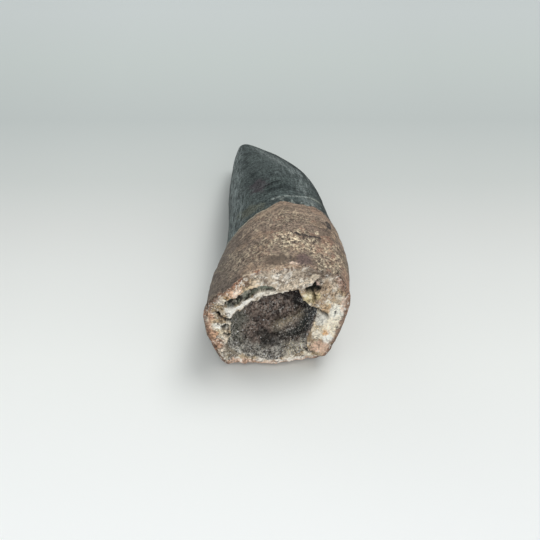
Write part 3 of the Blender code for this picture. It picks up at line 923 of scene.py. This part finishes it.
scatter = bpy.data.node_groups.new("scattered grains", "GeometryNodeTree")
for label, kind in (("Bed", "Geometry"), ("Radius", "Float"), ("Density", "Float"), ("Seed", "Int")):
    scatter.interface.new_socket(label, in_out="INPUT", socket_type="NodeSocket" + kind)
scatter.interface.new_socket("Grains", in_out="OUTPUT", socket_type="NodeSocketGeometry")
given = scatter.nodes.new("NodeGroupInput").outputs
share = add(scatter, "GeometryNodeInputNamedAttribute", {
    "Name": "amount",
}, data_type="FLOAT").outputs["Attribute"]
density = add(scatter, "ShaderNodeMath", {
    0: share, 1: given["Density"],
}, operation="MULTIPLY").outputs["Value"]
places = add(scatter, "GeometryNodeDistributePointsOnFaces", {
    "Mesh": given["Bed"], "Density": density, "Seed": given["Seed"],
}).outputs["Points"]
crystal = add(scatter, "GeometryNodeMeshIcoSphere", {
    "Radius": given["Radius"], "Subdivisions": 1,
}).outputs["Mesh"]
turn = add(scatter, "FunctionNodeRandomValue", {
    1: WHOLE_TURNS, "Seed": 1,
}, data_type="FLOAT_VECTOR").outputs[0]
size = add(scatter, "FunctionNodeRandomValue", {
    0: SMALLEST_GRAIN, 1: LARGEST_GRAIN, "Seed": 2,
}, data_type="FLOAT_VECTOR").outputs[0]
sown = add(scatter, "GeometryNodeInstanceOnPoints", {
    "Points": places, "Instance": crystal, "Rotation": turn, "Scale": size,
}).outputs["Instances"]
random_lightness = add(scatter, "FunctionNodeRandomValue", {
    2: 0.0, 3: 1.0, "Seed": 3,
}, data_type="FLOAT").outputs[1]
sown = add(scatter, "GeometryNodeStoreNamedAttribute", {
    "Geometry": sown, "Name": "lightness", "Value": random_lightness,
}, data_type="FLOAT", domain="INSTANCE").outputs["Geometry"]
solid = add(scatter, "GeometryNodeRealizeInstances", {"Geometry": sown}).outputs["Geometry"]
coated = add(scatter, "GeometryNodeSetMaterial", {"Geometry": solid, "Material": sand}).outputs["Geometry"]
add(scatter, "NodeGroupOutput", {"Grains": coated})

modifier = grains_piece.modifiers.new("grains", "NODES")
modifier.node_group = scatter
wanted = {"Radius": GRAIN_RADIUS * MM, "Density": GRAINS_PER_SQUARE_MM / MM**2, "Seed": GRAIN_SEED}
for socket in scatter.interface.items_tree:
    if socket.name in wanted:
        modifier[socket.identifier] = wanted[socket.name]
evaluated = grains_piece.evaluated_get(bpy.context.evaluated_depsgraph_get())
plain_mesh = bpy.data.meshes.new_from_object(evaluated)
grains_piece.modifiers.remove(modifier)
grains_piece.data = plain_mesh
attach(grains_piece, "root")
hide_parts("tooth")

# --------------------------------------
# Crown. The part that bit: dentine capped with hard enamel, stained grey by
# iron and polished by handling. It runs from just inside the root's lip to
# the blunt tip, with fine scratches along it.
# --------------------------------------

CROWN_COLUMNS = 340
CROWN_ROWS = 200
CAP_ROWS = 26
# The enamel begins this far inside the root's lip.
TUCK = 1.2
# A line of (x, y) places where growth paused, and where the painted shade on
# the right edge lies: its height round the tooth, from 0 at the side to 1 on
# top, by y.
GROWTH_LINE = ((-1.0, 31.6), (0.8, 32.4), (3.0, 32.9), (5.8, 33.2), (8.7, 34.2), (10.8, 35.0))
EDGE_STATIONS = (33.0, 45.0, 51.0, 56.0, 62.0, 67.0)
EDGE_HEIGHTS = (0.31, 0.3, 0.43, 0.56, 0.68, 0.8)

angles = np.linspace(0, 2 * math.pi, CROWN_COLUMNS, endpoint=False)
margin_station = station_where(margin_y, angles, ROOT_STEP)
start = margin_station - TUCK
rows = [skin(start + (CAP_START - start) * row / CROWN_ROWS, angles) for row in range(CROWN_ROWS)]
rows += [
    skin(CAP_START + TIP_CAP * math.sin(math.pi / 2 * row / CAP_ROWS) + 0 * angles, angles)
    for row in range(CAP_ROWS)
]
points = np.array(rows)
x, y, z = np.moveaxis(points, -1, 0)
beyond_margin = y - margin_y(x, z)
round_tooth = np.repeat(angles[None], len(rows), axis=0)
streak_places = joined(12 * np.cos(round_tooth), y / 7, 12 * np.sin(round_tooth))
scratches = mottle(streak_places, 0.5, 81, 3)
wrinkles = mottle(joined(beyond_margin / 0.8, 0.06 * x, 0), 1.0, 82, 2)
near_margin = ramp_down(beyond_margin, 1.0, 9.0)
relief = (
    0.08 * mottle(points, 7.0, 83)
    + 0.03 * mottle(points, 1.1, 84)
    + 0.03 * scratches
    + 0.03 * wrinkles * near_margin
)
relief = relief * ramp_up(z, 0.0, 1.2)
points = points + grid_normals(points, 1) * relief[..., None]
points[..., 2] = np.maximum(points[..., 2], 0)
tip = skin(np.array([LENGTH]), np.array([0.0]))[0]

upper_face = ramp_up(np.sin(round_tooth), 0.0, 0.35)
left_strip = ramp_up(round_tooth, 2.15, 2.7) * ramp_down(round_tooth, 3.4, 4.2)
line_off = line_distance(GROWTH_LINE, x, y)
ticks = patchy(0.1, 0.6, joined(x, 0.25 * y, 0), 0.55, 85, 2)
tick_band = upper_face * ramp_up(x, -1.0, 1.0) * ramp_down(beyond_margin, 2.2, 3.2) * (beyond_margin > 0)
# Colours of the enamel: mottled greys, with a paler left flank.
arcs = mottle(joined(beyond_margin / 0.5, 0.1 * x, 0), 1.0, 91, 2)
low_crown = upper_face * (0.4 + 0.6 * ramp_down(beyond_margin, 12.0, 26.0))
from_edge = round_tooth - np.arcsin(np.interp(y, EDGE_STATIONS, EDGE_HEIGHTS))
# Painted shade along the right edge and, fainter, the left edge, where the crown turns away.
right_edge_shade = bell(from_edge, 0.34)
# A painted sheen just inside the right edge.
right_sheen = bell(from_edge - 0.62, 0.2) * upper_face
left_edge_shade = bell(np.sin(round_tooth) - 0.05, 0.16) * (np.cos(round_tooth) < 0)
# A painted sheen on the right of the crown.
sheen = blob(points, (5.5, 48.5, 18.0), (5.5, 4.5, 9.0), 90, 0.4) * ramp_up(scratches + 0.3, 0.0, 0.7)
line_here = upper_face * bell(line_off, 0.3) * patchy(-0.9, -0.2, points, 1.2, 92, 2)
tint = paint(
    one_colour(points, "414847"),
    ("252B2B", 0.8 * patchy(0.0, 0.6, points, 5.0, 86)),
    ("4C5452", 0.7 * patchy(0.1, 0.7, points, 3.5, 87)),
    ("6C7473", 0.75 * left_strip),
    ("8A9190", 0.6 * left_strip * ramp_up(scratches, 0.1, 0.6)),
    ("262C2C", 0.5 * left_strip * ramp_up(-scratches, 0.1, 0.6)),
    ("566060", (0.15 + 0.3 * left_strip) * ramp_up(scratches, 0.0, 0.8)),
    # Growth arcs, painted shade along both edges where the crown turns away, and a painted sheen beside the
    # right one.
    ("56615E", 0.3 * low_crown * ramp_up(arcs, 0.1, 0.6)),
    ("1D2222", 0.3 * low_crown * ramp_up(-arcs, 0.1, 0.6)),
    # A painted sheen beside the right edge.
    ("7E8583", 0.5 * right_sheen * ramp_up(scratches, -0.6, 0.3)),
    # Painted shade along both edges.
    ("121717", np.maximum(0.8 * right_edge_shade, 0.5 * left_edge_shade)),
    # A painted sheen and two stains, then the growth line and the ticks at the margin.
    ("707877", 0.5 * sheen),
    ("3B3237", 0.6 * blob(points, (-4.8, 40.5, 22), (2.8, 4.0, 9.0), 88, 0.4)),
    ("55574C", 0.6 * blob(points, (-6.8, 29.5, 22), (3.4, 3.4, 9.0), 89, 0.6) * upper_face),
    ("969D98", 0.75 * line_here),
    ("77786A", 0.3 * upper_face * bell(line_off, 0.9) * ramp_up(x, 7.0, 10.0)),
    ("8A908A", 0.6 * tick_band * ticks),
)
crown_piece = closed_piece(
    "crown", points, points[0].mean(axis=0), tip, np.zeros(len(rows) - 1), tint,
    {"streaks": 0.4 + 1.3 * left_strip},
)

# Fossil enamel: dense grey apatite with a soft polish, so it takes a broad,
# quiet sheen, broken by fine scratches along the tooth.
enamel, tree, shader, place = start_material("fossil enamel", 0.55)
shader.inputs["Specular IOR Level"].default_value = 0.04
tint = add(tree, "ShaderNodeAttribute", attribute_name="tint").outputs["Color"]
leather = add(tree, "ShaderNodeTexNoise", {
    "Vector": place, "Scale": per(0.5), "Detail": 2.0, "Roughness": 0.8,
}).outputs["Fac"]
long_way = add(tree, "ShaderNodeMapping", {"Vector": place, "Scale": (1.0, 0.12, 1.0)}).outputs["Vector"]
hairs = add(tree, "ShaderNodeTexNoise", {
    "Vector": long_way, "Scale": per(0.5), "Detail": 2.0, "Roughness": 0.7,
}).outputs["Fac"]
streaks = add(tree, "ShaderNodeAttribute", attribute_name="streaks").outputs["Fac"]
hairs = add(tree, "ShaderNodeMath", {0: hairs, 1: 0.5}, operation="SUBTRACT").outputs["Value"]
hairs = add(tree, "ShaderNodeMath", {0: hairs, 1: streaks}, operation="MULTIPLY").outputs["Value"]
both = add(tree, "ShaderNodeMath", {0: leather, 1: hairs}, operation="ADD").outputs["Value"]
shade = add(tree, "ShaderNodeMapRange", {
    "Value": both, "From Min": 0.34, "From Max": 0.66, "To Min": 0.45, "To Max": 1.75,
}).outputs["Result"]
shaded = add(tree, "ShaderNodeVectorMath", {0: tint, "Scale": shade}, operation="SCALE").outputs["Vector"]
tree.links.new(shaded, shader.inputs["Base Color"])
bump = add(tree, "ShaderNodeBump", {"Height": both, "Strength": 0.3, "Distance": 0.00008})
tree.links.new(bump.outputs["Normal"], shader.inputs["Normal"])
crown_piece.data.materials.append(enamel)
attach(crown_piece, "root")
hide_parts("tooth")

# --------------------------------------
# Floor, light and camera. A sheet of pale paper on a table, lit by a softbox
# overhead and two weak fills.
# --------------------------------------

FLOOR_HALF = 1.5
# Painted shade: the paper's colour darkens from its front to its back, and a little to the right.
SHADE_FRONT = -0.084
SHADE_BACK = 0.162
SHADE_SIDE = 0.06
floor_mesh = bpy.data.meshes.new("floor")
floor_corners = [(-FLOOR_HALF, -FLOOR_HALF, 0), (FLOOR_HALF, -FLOOR_HALF, 0),
                 (FLOOR_HALF, FLOOR_HALF, 0), (-FLOOR_HALF, FLOOR_HALF, 0)]
floor_mesh.from_pydata(floor_corners, [], [(0, 1, 2, 3)])
floor = add_object("floor", floor_mesh)
paper, tree, shader, place = start_material("pale paper", 0.9)
split = add(tree, "ShaderNodeSeparateXYZ", {"Vector": place})
# Painted shade towards the back and the right of the paper.
back = add(tree, "ShaderNodeMapRange", {
    "Value": split.outputs["Y"], "From Min": SHADE_FRONT, "From Max": SHADE_BACK,
}).outputs["Result"]
side_shade = add(tree, "ShaderNodeMapRange", {
    "Value": split.outputs["X"], "From Min": -SHADE_SIDE, "From Max": SHADE_SIDE,
    "To Min": 1.02, "To Max": 0.93,
}).outputs["Result"]
base = add(tree, "ShaderNodeValToRGB", {"Fac": back}, stops=(
    (0.0, "F4F6F5"), (1.0, "C8CECD"), (0.18, "EBEDEA"), (0.31, "DFE1DE"), (0.39, "D5D7D4"),
    (0.48, "C8CCC9"), (0.63, "BBC1BF"), (0.81, "C2C9C6"),
)).outputs["Color"]
base = add(tree, "ShaderNodeVectorMath", {0: base, "Scale": side_shade}, operation="SCALE").outputs["Vector"]
tree.links.new(base, shader.inputs["Base Color"])
floor_mesh.materials.append(paper)

Light = namedtuple("Light", "name place aim width watts")
for light in (
    Light("overhead softbox", (0.16, 0.10, 0.45), (0.0, 0.0, 0.01), 0.24, 1.25),
    Light("front fill", (0.06, -0.45, 0.24), (0.0, 0.0, 0.01), 0.30, 0.62),
    Light("left fill", (-0.35, 0.32, 0.22), (-0.02, 0.03, 0.0), 0.3, 0.25),
):
    lamp = bpy.data.lights.new(light.name, "AREA")
    lamp.size = light.width
    lamp.energy = light.watts
    holder = add_object(light.name, lamp)
    holder.location = light.place
    holder.rotation_euler = (Vector(light.aim) - Vector(light.place)).to_track_quat("-Z", "Y").to_euler()

world = bpy.data.worlds.new("studio")
world.use_nodes = True
world.node_tree.nodes["Background"].inputs["Color"].default_value = linear("EEF1F2")
world.node_tree.nodes["Background"].inputs["Strength"].default_value = 0.52
bpy.context.scene.world = world
bpy.context.scene.view_settings.view_transform = "Standard"

CAMERA_TILT = math.radians(42)
CAMERA_PLACE = (-1.62, -120.75, 138.15)
SENSOR = 36.0
FRAME_PIXELS = 540
FOCAL_PIXELS = 760
camera_data = bpy.data.cameras.new("camera")
camera_data.sensor_width = SENSOR
camera_data.lens = SENSOR * FOCAL_PIXELS / FRAME_PIXELS
camera_data.clip_start = 0.01
camera = add_object("camera", camera_data)
camera.location = in_frame(CAMERA_PLACE)
camera.rotation_euler = (math.pi / 2 - CAMERA_TILT, 0, 0)
bpy.context.scene.camera = camera
